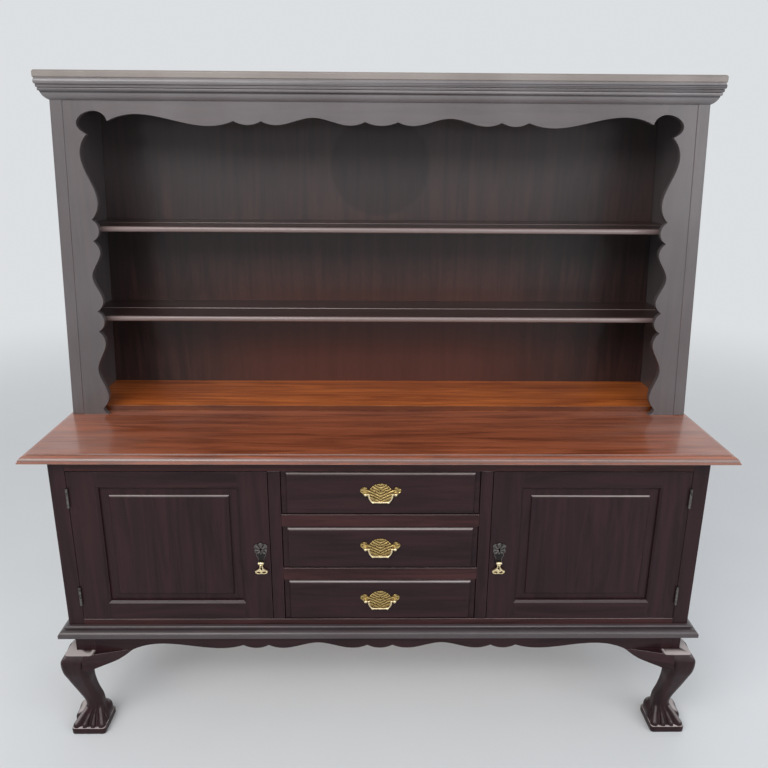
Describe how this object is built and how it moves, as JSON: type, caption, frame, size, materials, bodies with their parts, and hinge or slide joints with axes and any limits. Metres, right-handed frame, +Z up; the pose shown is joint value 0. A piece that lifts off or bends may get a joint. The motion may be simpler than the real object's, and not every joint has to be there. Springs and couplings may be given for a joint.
{
  "type": "dresser with hutch",
  "caption": "Dark wooden dresser: a sideboard on cabriole legs with drawers between two panelled cupboards, under an open hutch with scalloped front boards, shelves and a cornice.",
  "frame": {"origin": "on the floor, under the middle of the overall bounding box", "axes": "+X to the right seen from the front, -Y out of the front, +Z up"},
  "size_m": [1.752, 0.58, 1.724],
  "materials": {
    "base_wood": "dark mahogany, glossy",
    "hutch_wood": "dark mahogany, glossy",
    "counter_wood": "red-brown mahogany, glossy",
    "shelf_wood": "red-brown mahogany, satin",
    "back_panel_wood": "dark veneered board, satin",
    "inside_wood": "bare secondary wood, matt",
    "brass": "cast, half polished",
    "tarnished_brass": "cast, tarnished",
    "lock_steel": "dull steel"
  },
  "bodies": {
    "carcase": {"counter_top": "counter_wood", "base_side_left": "base_wood", "base_side_right": "base_wood", "base_back_panel": "inside_wood", "base_bottom_board": "inside_wood", "partition_left": "inside_wood", "partition_right": "inside_wood", "face_stiles": "base_wood", "face_rails": "base_wood", "drawer_runners": "inside_wood", "cupboard_shelves": "inside_wood", "shelf_cleats": "inside_wood", "waist_moulding": "base_wood", "apron_front": "base_wood", "aprons_side": "base_wood", "back_rail": "inside_wood", "leg_front_left": "base_wood", "leg_front_right": "base_wood", "leg_back_left": "base_wood", "leg_back_right": "base_wood", "knee_brackets": "base_wood", "hutch_side_left": "hutch_wood", "hutch_side_right": "hutch_wood", "hutch_stile_left": "hutch_wood", "hutch_stile_right": "hutch_wood", "hutch_apron": "hutch_wood", "hutch_back_panel": "back_panel_wood", "hutch_shelf_upper": "shelf_wood", "hutch_shelf_lower": "shelf_wood", "hutch_bottom_board": "shelf_wood", "hutch_top_board": "hutch_wood", "cornice_moulding": "hutch_wood", "carcase_hinge_leaves": "tarnished_brass"},
    "door_left": {"door_frame_left": "base_wood", "door_panel_left": "base_wood", "door_hinge_leaves_left": "tarnished_brass", "escutcheon_left": "tarnished_brass", "lock_case_left": "lock_steel"},
    "drop_left": {"drop_pull_left": "brass"},
    "bolt_left": {"lock_bolt_left": "lock_steel"},
    "door_right": {"door_frame_right": "base_wood", "door_panel_right": "base_wood", "door_hinge_leaves_right": "tarnished_brass", "escutcheon_right": "tarnished_brass", "lock_case_right": "lock_steel"},
    "drop_right": {"drop_pull_right": "brass"},
    "bolt_right": {"lock_bolt_right": "lock_steel"},
    "drawer_top": {"drawer_front_top": "base_wood", "drawer_box_top": "inside_wood", "pull_plate_top": "brass"},
    "bail_top": {"bail_top": "brass"},
    "drawer_middle": {"drawer_front_middle": "base_wood", "drawer_box_middle": "inside_wood", "pull_plate_middle": "brass"},
    "bail_middle": {"bail_middle": "brass"},
    "drawer_bottom": {"drawer_front_bottom": "base_wood", "drawer_box_bottom": "inside_wood", "pull_plate_bottom": "brass"},
    "bail_bottom": {"bail_bottom": "brass"}
  },
  "joints": [
    {"name": "door_hinge_left", "type": "hinge", "parent": "carcase", "child": "door_left", "pos_m": [-0.78475, -0.2438, 0.5645], "axis": [0, 0, -1], "range_deg": [0, 110]},
    {"name": "drop_swing_left", "type": "hinge", "parent": "door_left", "child": "drop_left", "pos_m": [-0.308, -0.2465, 0.524], "axis": [-1, 0, 0], "range_deg": [0, 80]},
    {"name": "bolt_slide_left", "type": "slide", "parent": "door_left", "child": "bolt_left", "axis": [1, 0, 0], "range_m": [0, 0.007]},
    {"name": "door_hinge_right", "type": "hinge", "parent": "carcase", "child": "door_right", "pos_m": [0.78475, -0.2438, 0.5645], "axis": [0, 0, 1], "range_deg": [0, 110]},
    {"name": "drop_swing_right", "type": "hinge", "parent": "door_right", "child": "drop_right", "pos_m": [0.308, -0.2465, 0.524], "axis": [-1, 0, 0], "range_deg": [0, 80]},
    {"name": "bolt_slide_right", "type": "slide", "parent": "door_right", "child": "bolt_right", "axis": [-1, 0, 0], "range_m": [0, 0.007]},
    {"name": "drawer_slide_top", "type": "slide", "parent": "carcase", "child": "drawer_top", "axis": [0, -1, 0], "range_m": [0, 0.38]},
    {"name": "bail_swing_top", "type": "hinge", "parent": "drawer_top", "child": "bail_top", "pos_m": [0, -0.256, 0.724], "axis": [-1, 0, 0], "range_deg": [0, 85]},
    {"name": "drawer_slide_middle", "type": "slide", "parent": "carcase", "child": "drawer_middle", "axis": [0, -1, 0], "range_m": [0, 0.38]},
    {"name": "bail_swing_middle", "type": "hinge", "parent": "drawer_middle", "child": "bail_middle", "pos_m": [0, -0.256, 0.57], "axis": [-1, 0, 0], "range_deg": [0, 85]},
    {"name": "drawer_slide_bottom", "type": "slide", "parent": "carcase", "child": "drawer_bottom", "axis": [0, -1, 0], "range_m": [0, 0.38]},
    {"name": "bail_swing_bottom", "type": "hinge", "parent": "drawer_bottom", "child": "bail_bottom", "pos_m": [0, -0.256, 0.416], "axis": [-1, 0, 0], "range_deg": [0, 85]}
  ]
}
